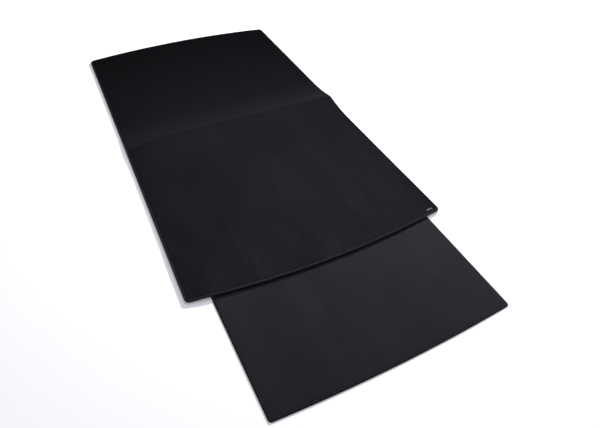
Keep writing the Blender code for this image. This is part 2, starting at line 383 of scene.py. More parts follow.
# %% [markdown]
# ## Small node-building helpers
#
# Materials and geometry trees are made of nodes joined by links. A few short helpers keep the recipes
# readable. One adds a node and sets its inputs by name, the next ones add the nodes that every recipe
# needs, and the last starts a reusable group whose sockets have names and defaults.

# %% Node helpers


def add_node(tree, kind, inputs=None, **settings):
    """A new node, with its settings and then its inputs: a socket is linked, anything else is a value."""
    node = tree.nodes.new(kind)
    for name, value in settings.items():
        setattr(node, name, value)
    for name, value in (inputs or {}).items():
        socket = node.inputs[name]
        if isinstance(value, bpy.types.NodeSocket):
            tree.links.new(value, socket)
        else:
            socket.default_value = value
    return node


def maths(tree, operation, first, second=0.0, third=0.0):
    node = add_node(tree, "ShaderNodeMath", {0: first, 1: second, 2: third}, operation=operation)
    return node.outputs[0]


def noise(tree, place, scale, detail, distortion=0.0):
    """Soft cloudy noise, about 0.5 on average. The scale is in clouds per metre."""
    inputs = {"Vector": place, "Scale": scale, "Detail": detail, "Distortion": distortion}
    return add_node(tree, "ShaderNodeTexNoise", inputs).outputs["Fac"]


def mix(tree, factor, first, second):
    return add_node(tree, "ShaderNodeMix", {"Factor": factor, "A": first, "B": second}).outputs[0]


def map_range(tree, value, start, stop, first, last, kind="LINEAR"):
    """Runs from first to last as the value runs from start to stop."""
    limits = {0: value, 1: start, 2: stop, 3: first, 4: last}
    return add_node(tree, "ShaderNodeMapRange", limits, interpolation_type=kind).outputs[0]


def vector(tree, x=0.0, y=0.0, z=0.0):
    return add_node(tree, "ShaderNodeCombineXYZ", {0: x, 1: y, 2: z}).outputs[0]


def new_group(name, inputs, outputs, kind="ShaderNodeTree"):
    """A node group with named sockets. Each input is (name, type, default), each output (name, type)."""
    group = bpy.data.node_groups.new(name, kind)
    for label, socket_type, default in inputs:
        socket = group.interface.new_socket(label, in_out="INPUT", socket_type=socket_type)
        if default is not None:
            socket.default_value = default
    for label, socket_type in outputs:
        group.interface.new_socket(label, in_out="OUTPUT", socket_type=socket_type)
    start = group.nodes.new("NodeGroupInput")
    end = group.nodes.new("NodeGroupOutput")
    return group, start.outputs, end.inputs


FLOAT, VECTOR = "NodeSocketFloat", "NodeSocketVector"
print("node helpers ready")

# %% [markdown]
# ## Fibre: the nap of velour, felt and fleece
#
# Brushed cloth has three scales of pattern. Single fibres make a fine grain, tufts lean together in
# spots a few millimetres wide, and strokes of the hand or the roller leave broad, soft patches that
# reflect more or less light. One group makes all three, for every brushed cloth on the mat.

# %% Fibre group
fibre, at, out = new_group(
    "fibre",
    [
        ("Place", VECTOR, None),
        ("Grain per metre", FLOAT, 900.0),
        ("Tufts per metre", FLOAT, 120.0),
        ("Patches per metre", FLOAT, 5.0),
        ("Grain share", FLOAT, 0.3),
        ("Patch share", FLOAT, 0.5),
    ],
    [("Shade", FLOAT), ("Height", FLOAT)],
)
grain = noise(fibre, at["Place"], at["Grain per metre"], 3.0)
tufts = noise(fibre, at["Place"], at["Tufts per metre"], 4.0)
stroked = add_node(fibre, "ShaderNodeMapping", {"Vector": at["Place"], "Scale": (1.0, 0.45, 1.0)})
patches = noise(fibre, stroked.outputs[0], at["Patches per metre"], 2.5, 0.6)
fine = mix(fibre, at["Grain share"], tufts, grain)
fibre.links.new(mix(fibre, at["Patch share"], fine, patches), out["Shade"])
fibre.links.new(fine, out["Height"])
print("fibre sockets:", [item.name for item in fibre.interface.items_tree])

# %% [markdown]
# ## Weave: tape, coated cloth and label
#
# A plain weave is a chequerboard in which warp and weft take turns on top. Each thread is a rounded
# ridge, made by folding the place along the thread into a half circle. The same group draws the coarse
# ribs of the binding tape and the fine threads of the coated cloth: only the counts differ.

# %% Weave group
weave, at, out = new_group(
    "weave",
    [
        ("Place", VECTOR, None),
        ("Warp per metre", FLOAT, 1000.0),
        ("Weft per metre", FLOAT, 1000.0),
    ],
    [("Height", FLOAT), ("Shade", FLOAT)],
)
place = add_node(weave, "ShaderNodeSeparateXYZ", {0: at["Place"]})
threads, rounds = [], []
for axis, per_metre in (("X", "Warp per metre"), ("Y", "Weft per metre")):
    thread_at = maths(weave, "MULTIPLY", place.outputs[axis], at[per_metre])
    swing = maths(weave, "SINE", maths(weave, "MULTIPLY", thread_at, math.pi))
    threads.append(maths(weave, "FLOOR", thread_at))
    rounds.append(maths(weave, "ABSOLUTE", swing))
warp_on_top = maths(weave, "PINGPONG", maths(weave, "ADD", *threads), 1.0)
weave.links.new(mix(weave, warp_on_top, rounds[1], rounds[0]), out["Height"])
weave.links.new(noise(weave, at["Place"], 90.0, 3.0), out["Shade"])
print("weave sockets:", [item.name for item in weave.interface.items_tree])

# %% [markdown]
# ## Lint
#
# Black cloth shows every speck. A sparse scatter of tiny pale dots, each at the middle of a cell and
# only where a second noise allows it, gives the new-but-handled look without dirtying the mat.

# %% Lint group
lint, at, out = new_group(
    "lint",
    [("Place", VECTOR, None), ("Specks per metre", FLOAT, 60.0), ("Speck size", FLOAT, 0.05)],
    [("Mask", FLOAT)],
)
cells = add_node(lint, "ShaderNodeTexVoronoi", {"Vector": at["Place"], "Scale": at["Specks per metre"]})
near = maths(lint, "LESS_THAN", cells.outputs["Distance"], at["Speck size"])
allowed = maths(lint, "GREATER_THAN", noise(lint, at["Place"], 14.0, 2.0), 0.6)
lint.links.new(maths(lint, "MULTIPLY", near, allowed), out["Mask"])
print("lint sockets:", [item.name for item in lint.interface.items_tree])

# %% [markdown]
# ## Materials
#
# Each finish is its own material, built from the shared groups. The colour and the sheen of cloth are
# what the eye reads first: velour is nearly black, and its lie makes it shine more or less. The coated
# apron is a shade lighter, with a faint violet sheen, and the tape shines along its ribs.

# %% Material helpers


def new_material(name, roughness, ior, sheen=0.0, sheen_tint=(1, 1, 1)):
    made = bpy.data.materials.new(name)
    made.use_nodes = True
    tree = made.node_tree
    shader = tree.nodes["Principled BSDF"]
    shader.inputs["Roughness"].default_value = roughness
    shader.inputs["IOR"].default_value = ior
    shader.inputs["Sheen Weight"].default_value = sheen
    shader.inputs["Sheen Tint"].default_value = (*sheen_tint, 1.0)
    return made, tree, shader


def cut_place(tree):
    """Where a point was on the flat cloth, in metres."""
    return add_node(tree, "ShaderNodeUVMap", uv_map="cut").outputs[0]


def object_place(tree):
    """Where a point is on the spread mat, in metres."""
    return add_node(tree, "ShaderNodeTexCoord").outputs["Object"]


def use_group(tree, group, inputs):
    return add_node(tree, "ShaderNodeGroup", inputs, node_tree=group).outputs


def two_tones(tree, mask, dark, light):
    """A colour that runs from dark to light over the middle of a mask's range."""
    ramp = add_node(tree, "ShaderNodeValToRGB", {0: mask})
    for stop, position, colour in zip(ramp.color_ramp.elements, (0.3, 0.7), (dark, light)):
        stop.position = position
        stop.color = (*colour, 1.0)
    return ramp.outputs[0]


def paint(tree, shader, mask, dark, light):
    tree.links.new(two_tones(tree, mask, dark, light), shader.inputs["Base Color"])


def colour_mix(tree, factor, first, second):
    inputs = {"Factor": factor, 6: first, 7: (*second, 1.0)}
    return add_node(tree, "ShaderNodeMix", inputs, data_type="RGBA").outputs[2]


def add_bump(tree, shader, height, depth, strength=1.0):
    bump = add_node(tree, "ShaderNodeBump", {"Height": height, "Distance": depth, "Strength": strength})
    tree.links.new(bump.outputs[0], shader.inputs["Normal"])


print("material helpers ready")

# %% [markdown]
# The carpet's velour also carries the mark of the crease. Along the crease runs a line where the pile is
# pressed flat, which makes it rougher, and there its colour is darkened as painted shade. It wanders a
# little and fades out to the left, where the ridge has settled. Ahead of it, on the ridge's far flank,
# the colour is made paler as a painted highlight of the side that faces the light. Both are worked out
# from the place on the cut cloth, so they fold with the mat.

# %% Velour
# The second reach and the second share below set the painted highlight on the ridge's far flank: how far
# it runs from the crease and how pale it is.
CRUSH_REACH, HIGHLIGHT_REACH, CREASE_STRAY = 34 * MM, 230 * MM, 14 * MM
# The first share sets how dark the painted shade along the crease is.
CREASE_SHADE_SHARE, HIGHLIGHT_SHARE, SPECK_SHARE = 0.33, 0.62, 0.12
FADE_FROM, FADE_TO, FADED = -0.52, -0.35, 0.3
DULL_NAP, SHINY_NAP, PRESSED_NAP = 0.85, 0.655, 0.9
velour, tree, shader = new_material("black_velour", 0.75, 1.56)
at = cut_place(tree)
pile = use_group(
    tree,
    fibre,
    {
        "Place": at,
        "Grain per metre": 1100.0,
        "Tufts per metre": 55.0,
        "Patches per metre": 6.0,
        "Grain share": 0.35,
        "Patch share": 0.45,
    },
)
specks = use_group(tree, lint, {"Place": at, "Specks per metre": 45.0, "Speck size": 0.035})
cut = add_node(tree, "ShaderNodeSeparateXYZ", {0: at}).outputs
crease_noise = noise(tree, at, 7.0, 3.0)
strayed = maths(tree, "MULTIPLY_ADD", crease_noise, CREASE_STRAY, CREASE_Y - CREASE_STRAY / 2)
ahead = maths(tree, "SUBTRACT", cut["Y"], strayed)
faded = map_range(tree, cut["X"], FADE_FROM, FADE_TO, FADED, 1.0, "SMOOTHSTEP")
# The crease mask both roughens the nap and darkens its colour as painted shade.
crushed_and_shaded = map_range(tree, maths(tree, "ABSOLUTE", ahead), 0.0, CRUSH_REACH, faded, 0.0, "SMOOTHSTEP")
# Ahead of the crease the far flank gets a paler colour: a painted highlight of the side that faces the
# light.
flank = map_range(tree, ahead, 4 * MM, HIGHLIGHT_REACH, 1.0, 0.0, "SMOOTHSTEP")
painted_flank_highlight = maths(tree, "MULTIPLY", flank, maths(tree, "GREATER_THAN", ahead, 0.0))
colour = two_tones(tree, pile["Shade"], (0.0002, 0.0002, 0.0003), (0.0016, 0.0016, 0.0019))
for mask, share, tone in (
    # painted highlight on the far flank
    (painted_flank_highlight, HIGHLIGHT_SHARE, (0.010, 0.010, 0.011)),
    # painted shade along the crease
    (crushed_and_shaded, CREASE_SHADE_SHARE, (0.0002, 0.0002, 0.0002)),
    (specks["Mask"], SPECK_SHARE, (0.12, 0.12, 0.12)),
):
    colour = colour_mix(tree, maths(tree, "MULTIPLY", mask, share), colour, tone)
tree.links.new(colour, shader.inputs["Base Color"])
brushed = map_range(tree, pile["Shade"], 0.3, 0.7, DULL_NAP, SHINY_NAP)
pressed = mix(tree, maths(tree, "MULTIPLY", crushed_and_shaded, 0.3), brushed, PRESSED_NAP)
tree.links.new(pressed, shader.inputs["Roughness"])
add_bump(tree, shader, pile["Height"], 0.9 * MM, 0.7)
print("velour nodes:", len(tree.nodes))

# %% [markdown]
# The felt of the core and the fleece under the apron are both loose fibre, with no weave to see. One
# recipe makes them: only the tones, the sheen and the sizes of grain and tuft differ.

# %% Felt and fleece


def brushed_cloth(name, ior, sheen, sheen_tint, counts, dark, light, depth):
    """A cloth of loose fibre. The counts are grains and tufts per metre."""
    made, tree, shader = new_material(name, 0.95, ior, sheen, sheen_tint)
    inputs = {"Place": cut_place(tree), "Grain per metre": counts[0], "Tufts per metre": counts[1]}
    hair = use_group(tree, fibre, inputs)
    paint(tree, shader, hair["Shade"], dark, light)
    add_bump(tree, shader, hair["Height"], depth)
    return made


FELT_TONES = (0.055, 0.055, 0.058), (0.13, 0.13, 0.135)
FLEECE_TONES = (0.010, 0.010, 0.011), (0.028, 0.028, 0.031)
felt = brushed_cloth("grey_felt", 1.35, 0.15, (1, 1, 1), (600.0, 80.0), *FELT_TONES, 1.0 * MM)
fleece = brushed_cloth("black_fleece", 1.3, 0.3, (0.9, 0.9, 1.0), (700.0, 200.0), *FLEECE_TONES, 1.2 * MM)
print("brushed cloths:", felt.name, fleece.name)

# %% [markdown]
# The rubber backing is matt with a faint moulded grain. Its studs touch the floor, so they are scuffed a
# little paler than the sheet they stand on.

# %% Rubber
rubber, tree, shader = new_material("black_rubber", 0.62, 1.5)
at = cut_place(tree)
paint(tree, shader, noise(tree, at, 9.0, 3.0), (0.014, 0.014, 0.0145), (0.024, 0.024, 0.0245))
add_bump(tree, shader, noise(tree, at, 420.0, 5.0), 0.25 * MM, 0.6)

stud_rubber, tree, shader = new_material("stud_rubber", 0.55, 1.5)
scuffs = noise(tree, object_place(tree), 160.0, 4.0)
paint(tree, shader, scuffs, (0.018, 0.018, 0.0185), (0.040, 0.040, 0.040))
add_bump(tree, shader, scuffs, 0.15 * MM, 0.5)
print("rubbers:", rubber.name, stud_rubber.name)

# %% [markdown]
# The apron is a fine cloth with a matt coating. It shows the plain weave only from close by, with soft
# cloudy patches and a few specks over it.

# %% Coated cloth
coated, tree, shader = new_material("coated_cloth", 0.75, 1.2, 0.18, (0.9, 0.88, 1.0))
at = cut_place(tree)
threads = use_group(tree, weave, {"Place": at, "Warp per metre": 1500.0, "Weft per metre": 1500.0})
clouds = use_group(
    tree, fibre, {"Place": at, "Tufts per metre": 60.0, "Patches per metre": 7.0, "Patch share": 0.6}
)
specks = use_group(tree, lint, {"Place": at, "Specks per metre": 50.0, "Speck size": 0.03})
plain = two_tones(tree, clouds["Shade"], (0.0085, 0.0082, 0.0100), (0.0145, 0.0140, 0.0170))
dusted = colour_mix(tree, maths(tree, "MULTIPLY", specks["Mask"], 0.2), plain, (0.12, 0.12, 0.12))
tree.links.new(dusted, shader.inputs["Base Color"])
add_bump(tree, shader, threads["Height"], 0.12 * MM, 0.6)
print("coated cloth nodes:", len(tree.nodes))

# %% [markdown]
# The tape, the thread and the label are all polyester yarn. The tape's map runs along the edge of the
# mat, so its ribs turn the corners with it.

# %% Tape, label and thread


def woven_cloth(name, roughness, ior, sheen, place_of, counts, dark, light, depth, strength=1.0):
    """A cloth of plain weave. The counts are warp and weft threads per metre."""
    made, tree, shader = new_material(name, roughness, ior, sheen)
    inputs = {"Place": place_of(tree), "Warp per metre": counts[0], "Weft per metre": counts[1]}
    ribs = use_group(tree, weave, inputs)
    paint(tree, shader, ribs["Shade"], dark, light)
    add_bump(tree, shader, ribs["Height"], depth, strength)
    return made


def yarn(name, roughness, twists, dark, light):
    """Twisted thread, with a soft change of tone for every few twists."""
    made, tree, shader = new_material(name, roughness, 1.5, 0.3)
    paint(tree, shader, noise(tree, object_place(tree), twists, 2.0), dark, light)
    return made


TAPE_TONES = (0.004, 0.004, 0.005), (0.009, 0.009, 0.011)
HOOK_TONES = (0.008, 0.008, 0.009), (0.018, 0.018, 0.020)
LABEL_TONES = (0.006, 0.006, 0.007), (0.012, 0.012, 0.014)
tape_cloth = woven_cloth(
    "binding_tape", 0.48, 1.62, 0.0, cut_place, (900.0, 1300.0), *TAPE_TONES, 0.2 * MM, 0.8
)
hooks = woven_cloth("hook_and_loop", 0.5, 1.5, 0.0, object_place, (700.0, 700.0), *HOOK_TONES, 0.4 * MM)
label_cloth = woven_cloth(
    "label_weave", 0.6, 1.5, 0.15, cut_place, (1800.0, 1800.0), *LABEL_TONES, 0.15 * MM
)
thread = yarn("black_thread", 0.45, 1500.0, (0.012, 0.012, 0.014), (0.030, 0.030, 0.034))
pale_thread = yarn("pale_thread", 0.4, 900.0, (0.16, 0.16, 0.165), (0.30, 0.30, 0.31))
print("materials:", len(bpy.data.materials))

# %% [markdown]
# ## The carpet
#
# The velour is one piece from end to end, over the crease. Round its rim it rolls down into the seam
# beside the binding, in three narrow strips.

# %% Carpet
BINDING_WIDTH = 9 * MM
CARPET_THICKNESS = 3.4 * MM


def rear_place(across, along):
    """A point of the rear half on the floor. The rear edge was cut a little out of square."""
    share = min(along / REAR_LENGTH, 1.0)
    return (across, CREASE_Y - along - REAR_SKEW * share * across / MAT_HALF)


def mat_rim(inset, fine=4 * MM, coarse=12 * MM):
    """The whole outline of the mat, front half first, as (x, y) points."""
    front = front_end.rim(inset, stations_to(FRONT_LENGTH, fine, coarse))
    rear = rear_end.rim(inset, stations_to(REAR_LENGTH, fine, coarse)[1:])
    ahead = [(across, CREASE_Y + along) for across, along in front]
    behind = [rear_place(-across, along) for across, along in rear]
    return ahead + behind


def mat_outward(x, y):
    if y >= CREASE_Y:
        return front_end.outward(x, y - CREASE_Y)
    way = rear_end.outward(-x, CREASE_Y - y)
    return Vector((-way.x, -way.y))


def rows(coarse, fine=None):
    """Where the whole mat is scored across."""
    fine = fine or coarse
    front = stations_to(FRONT_LENGTH + FRONT_BOW, fine, coarse)
    rear = stations_to(REAR_LENGTH + REAR_BOW, fine, coarse)
    return sorted({round(CREASE_Y + s, 6) for s in front} | {round(CREASE_Y - s, 6) for s in rear})


def columns(half, step, middle=0.0):
    count = int(half / step)
    return [middle + i * step for i in range(-count, count + 1)]


SEAM_ROLL = [(2.2 * MM, 0.15 * MM), (1.3 * MM, 0.7 * MM), (0.8 * MM, 1.7 * MM)]
field_inset = BINDING_WIDTH + sum(step for step, _ in SEAM_ROLL)
carpet_mesh = cut_cloth(
    "mat_carpet",
    mat_rim(field_inset),
    columns(MAT_HALF, 12 * MM),
    rows(12 * MM, 4 * MM),
    SEAM_ROLL,
    mat_outward,
)
lay(carpet_mesh, mat_lie, MAT_TOP)
carpet = finish_cloth(carpet_mesh, velour, CARPET_THICKNESS)
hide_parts("rear_carpet", "front_carpet")


def bend_at_crease(piece):
    """Bakes a piece's placement into its mesh."""
    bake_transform(piece)


bend_at_crease(carpet)

# %% [markdown]
# ## The core
#
# Two sheets of needle felt give the mat its body. They stop a little short of the crease, which is why
# the mat folds there. Nobody sees them unless the binding is cut open, so a coarse grid is enough.

# %% Core
CORE_BOTTOM, CORE_TOP = 1.9 * MM, 6.3 * MM
CORE_INSET = 3 * MM
CORE_STOP = 4 * MM


def front_place(across, along):
    return (across, CREASE_Y + along)


HALVES = (("rear", rear_end, rear_place, -1), ("front", front_end, front_place, 1))
for half, end, place_on, direction in HALVES:
    stations = [CORE_STOP] + stations_to(end.length, 12 * MM, 40 * MM)[1:]
    core_rim = [place_on(across, along) for across, along in end.rim(CORE_INSET, stations)]
    lines = [CREASE_Y + direction * s for s in stations_to(end.length + end.bow, 12 * MM, 40 * MM)]
    core_mesh = cut_cloth(f"{half}_core_felt", core_rim, columns(MAT_HALF, 60 * MM), lines)
    lay(core_mesh, mat_lie, CORE_TOP)
    core = finish_cloth(core_mesh, felt, CORE_TOP - CORE_BOTTOM)
    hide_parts(f"{half}_core")
    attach(core, f"{half}_half")
    print(core.name, "faces:", len(core.data.polygons))

# %% [markdown]
# ## The backing
#
# The underside is a thin rubber-coated sheet covered in small round studs that grip the load floor. The
# sheet is cut like the carpet. The studs repeat thousands of times, which is work for Geometry Nodes:
# one short tree puts a small tapered stud on every point of a staggered grid.

# %% Backing sheet
STUD_HEIGHT = 0.8 * MM
BACKING_THICKNESS = 0.9 * MM
backing_mesh = cut_cloth(
    "mat_backing", mat_rim(BINDING_WIDTH + 0.2 * MM), columns(MAT_HALF, 24 * MM), rows(24 * MM, 4 * MM)
)
lay(backing_mesh, mat_lie, STUD_HEIGHT + BACKING_THICKNESS)
backing = finish_cloth(backing_mesh, rubber, BACKING_THICKNESS)
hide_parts("rear_backing", "front_backing")
bend_at_crease(backing)
print("backing faces:", len(backing.data.polygons))

# %% Scatter tree
GEOMETRY, INTEGER, MATERIAL = "NodeSocketGeometry", "NodeSocketInt", "NodeSocketMaterial"


def new_grower(name, sizes):
    """A geometry tree that takes points, its own sizes and a material."""
    inputs = [("Geometry", GEOMETRY, None), *sizes, ("Material", MATERIAL, None)]
    return new_group(name, inputs, [("Geometry", GEOMETRY)], "GeometryNodeTree")


def plant(tree, at, out, points, shape, turn, size=None):
    """Puts a shape on every point, makes the copies real, and gives them their material."""
    inputs = {"Points": points, "Instance": shape, "Rotation": turn}
    copies = add_node(tree, "GeometryNodeInstanceOnPoints", inputs).outputs[0]
    if size is not None:
        inputs = {"Instances": copies, "Scale": size}
        copies = add_node(tree, "GeometryNodeScaleInstances", inputs).outputs[0]
    real = add_node(tree, "GeometryNodeRealizeInstances", {"Geometry": copies}).outputs[0]
    dressed = add_node(tree, "GeometryNodeSetMaterial", {"Geometry": real, "Material": at["Material"]})
    tree.links.new(dressed.outputs[0], out["Geometry"])


scatter, at, out = new_grower(
    "scatter_studs",
    [
        ("Foot radius", FLOAT, 2.2 * MM),
        ("Tip radius", FLOAT, 1.5 * MM),
        ("Height", FLOAT, 0.8 * MM),
        ("Sides", INTEGER, 8),
        ("Seed", INTEGER, 3),
    ],
)
stud_sizes = {
    "Vertices": at["Sides"],
    "Radius Top": at["Tip radius"],
    "Radius Bottom": at["Foot radius"],
    "Depth": at["Height"],
}
stud = add_node(scatter, "GeometryNodeMeshCone", stud_sizes, fill_type="NGON").outputs["Mesh"]
limits = {2: 0.94, 3: 1.06, "Seed": at["Seed"]}
girth = add_node(scatter, "FunctionNodeRandomValue", limits, data_type="FLOAT").outputs[1]
plant(scatter, at, out, at["Geometry"], stud, (math.pi, 0.0, 0.0), vector(scatter, girth, girth, 1.0))


def grow(name, points, tree, values, edges=()):
    """Runs a geometry tree on points, and returns the result as a plain mesh piece."""
    seed_mesh = bpy.data.meshes.new(name)
    seed_mesh.from_pydata([tuple(point) for point in points], list(edges), [])
    piece = link(seed_mesh)
    grower = piece.modifiers.new("grow", "NODES")
    grower.node_group = tree
    sockets = {item.name: item.identifier for item in tree.interface.items_tree if item.in_out == "INPUT"}
    for label, value in values.items():
        grower[sockets[label]] = value
    settle(piece)
    return piece


print("scatter sockets:", [item.name for item in scatter.interface.items_tree])

# %% Studs
STUD_PITCH, STUD_MARGIN, STUD_ROOT = 16 * MM, 20 * MM, 0.05 * MM
ANCHOR_REACH, ANCHOR_MARGIN = 0.15, 10 * MM


def inside_end(end, across, along, inset):
    """Whether a point lies inside one end of the mat by at least inset."""
    within_side = abs(across) < end.half - inset
    within_bow = math.hypot(across, along - end.centre) < end.radius - inset
    return within_side and (along < end.corner_along or within_bow)


def stud_places(end, direction, skip):
    """A staggered grid of stud middles over one half of the mat, left out where skip says so."""
    places = []
    row_pitch = STUD_PITCH * math.sqrt(3) / 2
    for row in range(1, int((end.length + end.bow) / row_pitch)):
        along = row * row_pitch
        shift = STUD_PITCH / 2 * (row % 2)
        for column in range(-40, 41):
            x = column * STUD_PITCH + shift
            y = CREASE_Y + direction * along
            if inside_end(end, x, along, STUD_MARGIN) and not skip(x, y):
                places.append((x, y))
    return places


def under_tapes(x, y):
    """Where the apron's anchor lies against the backing, which is smooth there."""
    return y < FOLD_Y + ANCHOR_REACH and abs(x - APRON_MIDDLE) < APRON_WIDTH / 2 + ANCHOR_MARGIN


for half, end, _, direction in HALVES:
    flat = stud_places(end, direction, under_tapes)
    points = [(x, y, float(mat_lie(x, y)) + STUD_HEIGHT + STUD_ROOT) for x, y in flat]
    studs = grow(f"{half}_studs", points, scatter, {"Material": stud_rubber, "Height": STUD_HEIGHT})
    bend_at_crease(studs)
    print(studs.name, len(points), "studs,", len(studs.data.polygons), "faces")

# %% [markdown]
# ## The binding
#
# The binding is a woven tape folded round the raw edge and sewn through. Its section is a soft letter
# C: a lip on the carpet, a shoulder that rolls down to a rounded nose, and a lip on the backing whose
# edge curls up, because the tape pulls the sandwich together. The section is swept round the
# outline by drawing the same outline at each point's own inset, which keeps the corners true. A sweep
# along a bevelled curve would be quicker to write, but it would pinch at the tight corners.

# %% Sweeping a section round a rim


def sweep_section(name, rim_at, section, lie, closed, material):
    """A closed section of (inset, height) points, swept round the rim that rim_at draws."""
    rings = [np.array(rim_at(inset)) for inset, _ in section]
    count = len(rings[0])
    points = []
    for ring, (_, height) in zip(rings, section):
        heights = lie(ring[:, 0], ring[:, 1]) + height
        points.append(np.column_stack([ring, heights]))
    path = rings[0]
    steps = np.linalg.norm(np.roll(path, -1, axis=0) - path, axis=1)
    along = np.concatenate([[0.0], np.cumsum(steps)])
    around = [0.0]
    for (inset, height), (next_inset, next_height) in zip(section, section[1:] + section[:1]):
        around.append(around[-1] + math.hypot(next_inset - inset, next_height - height))
    shape = bmesh.new()
    cloth_map = shape.loops.layers.uv.new("cut")
    grid = [[shape.verts.new(point) for point in ring] for ring in points]
    turns = len(section)
    for i in range(count if closed else count - 1):
        j = (i + 1) % count
        for k in range(turns):
            m = (k + 1) % turns
            face = shape.faces.new((grid[k][i], grid[k][j], grid[m][j], grid[m][i]))
            spots = ((i, k), (i + 1, k), (i + 1, k + 1), (i, k + 1))
            for loop, (step, turn) in zip(face.loops, spots):
                loop[cloth_map].uv = (around[turn], along[step])
    if not closed:
        shape.faces.new([ring[0] for ring in grid])
        shape.faces.new([ring[-1] for ring in grid])
    bmesh.ops.recalc_face_normals(shape, faces=shape.faces)
    piece = link(to_mesh(shape, name))
    piece.data.materials.append(material)
    piece.data.shade_smooth()
    return piece


# %% Mat binding
NOSE_STEPS = 8


def bound_section(width, bottom, top, wall, roll, curl):
    """A C section: the outer face from the top lip round the nose to the lower lip, then back inside.

    The tape pulls the edge together: the shoulder rolls down and the underside curls up. The other
    numbers are shares of the tape's width and wall.
    """
    reach = (top - roll - bottom - curl) / 2
    middle = bottom + curl + reach
    depth = 0.75 * reach
    outer = [(width, top - 0.5 * wall), (width * 0.92, top + 0.1 * wall), (width * 0.75, top)]
    outer.append((width * 0.5, top - 0.4 * roll))
    nose = []
    for i in range(NOSE_STEPS + 1):
        angle = math.pi / 2 - math.pi * i / NOSE_STEPS
        nose.append((depth * (1 - math.cos(angle)), middle + reach * math.sin(angle)))
    under = [(width * 0.6, bottom), (width * 0.92, bottom), (width, bottom + 0.2 * wall)]
    inner = [
        (width, bottom + wall),
        (width * 0.5, bottom + wall),
        (wall * 1.2, middle),
        (width * 0.5, top - 0.35 * roll - wall),
        (width, top - 1.4 * wall),
    ]
    return outer + nose + under + inner


binding = sweep_section(
    "mat_binding",
    mat_rim,
    bound_section(BINDING_WIDTH, 0.0, MAT_TOP, wall=1.0 * MM, roll=2.2 * MM, curl=0.9 * MM),
    mat_lie,
    True,
    tape_cloth,
)
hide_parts("rear_binding", "front_binding")
bend_at_crease(binding)
print("binding faces:", len(binding.data.polygons))

# %% [markdown]
# ## Stitches
#
# A lockstitch row is a line of short arcs of thread, each rising out of one needle hole and going down
# the next. The tree walks along a line, drops a point every stitch, and puts one small arc of tube on
# each point, turned to follow the line.

# %% Stitch tree


def thread_arc(tree, ends, crown, steps, sides, radius):
    """A short closed tube of thread that arches from one end to the other."""
    inputs = {"Resolution": steps, "Start": ends[0], "Middle": crown, "End": ends[1]}
    arc = add_node(tree, "GeometryNodeCurveQuadraticBezier", inputs).outputs[0]
    inputs = {"Resolution": sides, "Radius": radius}
    ring = add_node(tree, "GeometryNodeCurvePrimitiveCircle", inputs).outputs[0]
    inputs = {"Curve": arc, "Profile Curve": ring, "Fill Caps": True}
    return add_node(tree, "GeometryNodeCurveToMesh", inputs).outputs[0]


stitching, at, out = new_grower(
    "stitching",
    [
        ("Pitch", FLOAT, 5.0 * MM),
        ("Stitch length", FLOAT, 3.8 * MM),
        ("Thread radius", FLOAT, 0.45 * MM),
        ("Arch", FLOAT, 0.5 * MM),
    ],
)
line = add_node(stitching, "GeometryNodeMeshToCurve", {"Mesh": at["Geometry"]}).outputs[0]
inputs = {"Curve": line, "Length": at["Pitch"]}
holes = add_node(stitching, "GeometryNodeResampleCurve", inputs, mode="LENGTH").outputs[0]
half_stitch = maths(stitching, "MULTIPLY", at["Stitch length"], 0.5)
ends = [vector(stitching, maths(stitching, "MULTIPLY", half_stitch, sign)) for sign in (-1.0, 1.0)]
crown = vector(stitching, z=maths(stitching, "MULTIPLY", at["Arch"], 2.0))
stitch = thread_arc(stitching, ends, crown, 4, 5, at["Thread radius"])
inputs = {"Vector": add_node(stitching, "GeometryNodeInputTangent").outputs[0]}
turned = add_node(stitching, "FunctionNodeAlignEulerToVector", inputs, axis="X", pivot_axis="Z")
plant(stitching, at, out, holes, stitch, turned.outputs[0])


def sew(name, line_points, closed, values):
    """A row of stitches along a line of points."""
    count = len(line_points)
    edges = [(i, (i + 1) % count) for i in range(count if closed else count - 1)]
    piece = grow(name, line_points, stitching, {"Material": thread, **values}, edges)
    piece.data.shade_smooth()
    return piece


def raised(flat_points, lie, height):
    """Flat (x, y) points lifted to a height above a lie."""
    flat = np.array(flat_points)
    return np.column_stack([flat, lie(flat[:, 0], flat[:, 1]) + height])


print("stitching sockets:", [item.name for item in stitching.interface.items_tree])

# %% Rows of stitches round the mat
SEAM_INSET = 7.2 * MM
for name, height, arch in (
    ("edge_stitches_top", MAT_TOP + 0.25 * MM, 0.4 * MM),
    ("edge_stitches_under", 0.35 * MM, -0.05 * MM),
):
    row = sew(name, raised(mat_rim(SEAM_INSET), mat_lie, height), True, {"Arch": arch})
    bend_at_crease(row)
    print(name, len(row.data.polygons), "faces")

# %% [markdown]
# ## The apron
#
# The apron is a thinner panel of the same build: a coated cloth on top, a sheet of padding, and a soft
# lining that lies on the paint. Near its fold the padding ends and the panel thins to a single cloth,
# which runs on under the mat as the anchor. The fold turns there.

# %% Apron cloths
HEM_WIDTH = 8 * MM
FACE_THICKNESS, LINING_THICKNESS, PADDING_THICKNESS = 0.9 * MM, 0.9 * MM, 1.6 * MM
PADDING_INSET, PADDING_GAP = 2.5 * MM, 0.15 * MM
THIN_REACH = 22 * MM
FACE_STOP, LINING_STOP = 2 * MM, 14 * MM
FLAP_TOP = 1.5 * MM


def apron_place(across, along):
    narrowing = 1 - APRON_TAPER * along / APRON_LENGTH
    return (across * narrowing + APRON_MIDDLE, FOLD_Y - along)


def apron_rim(inset, start=0.3 * MM, step=12 * MM):
    stations = [start] + list(np.arange(step, APRON_LENGTH, step))
    return [apron_place(across, along) for across, along in apron_end.rim(inset, stations)]


def apron_outward(x, y):
    way = apron_end.outward(x - APRON_MIDDLE, FOLD_Y - y)
    return Vector((way.x, -way.y))


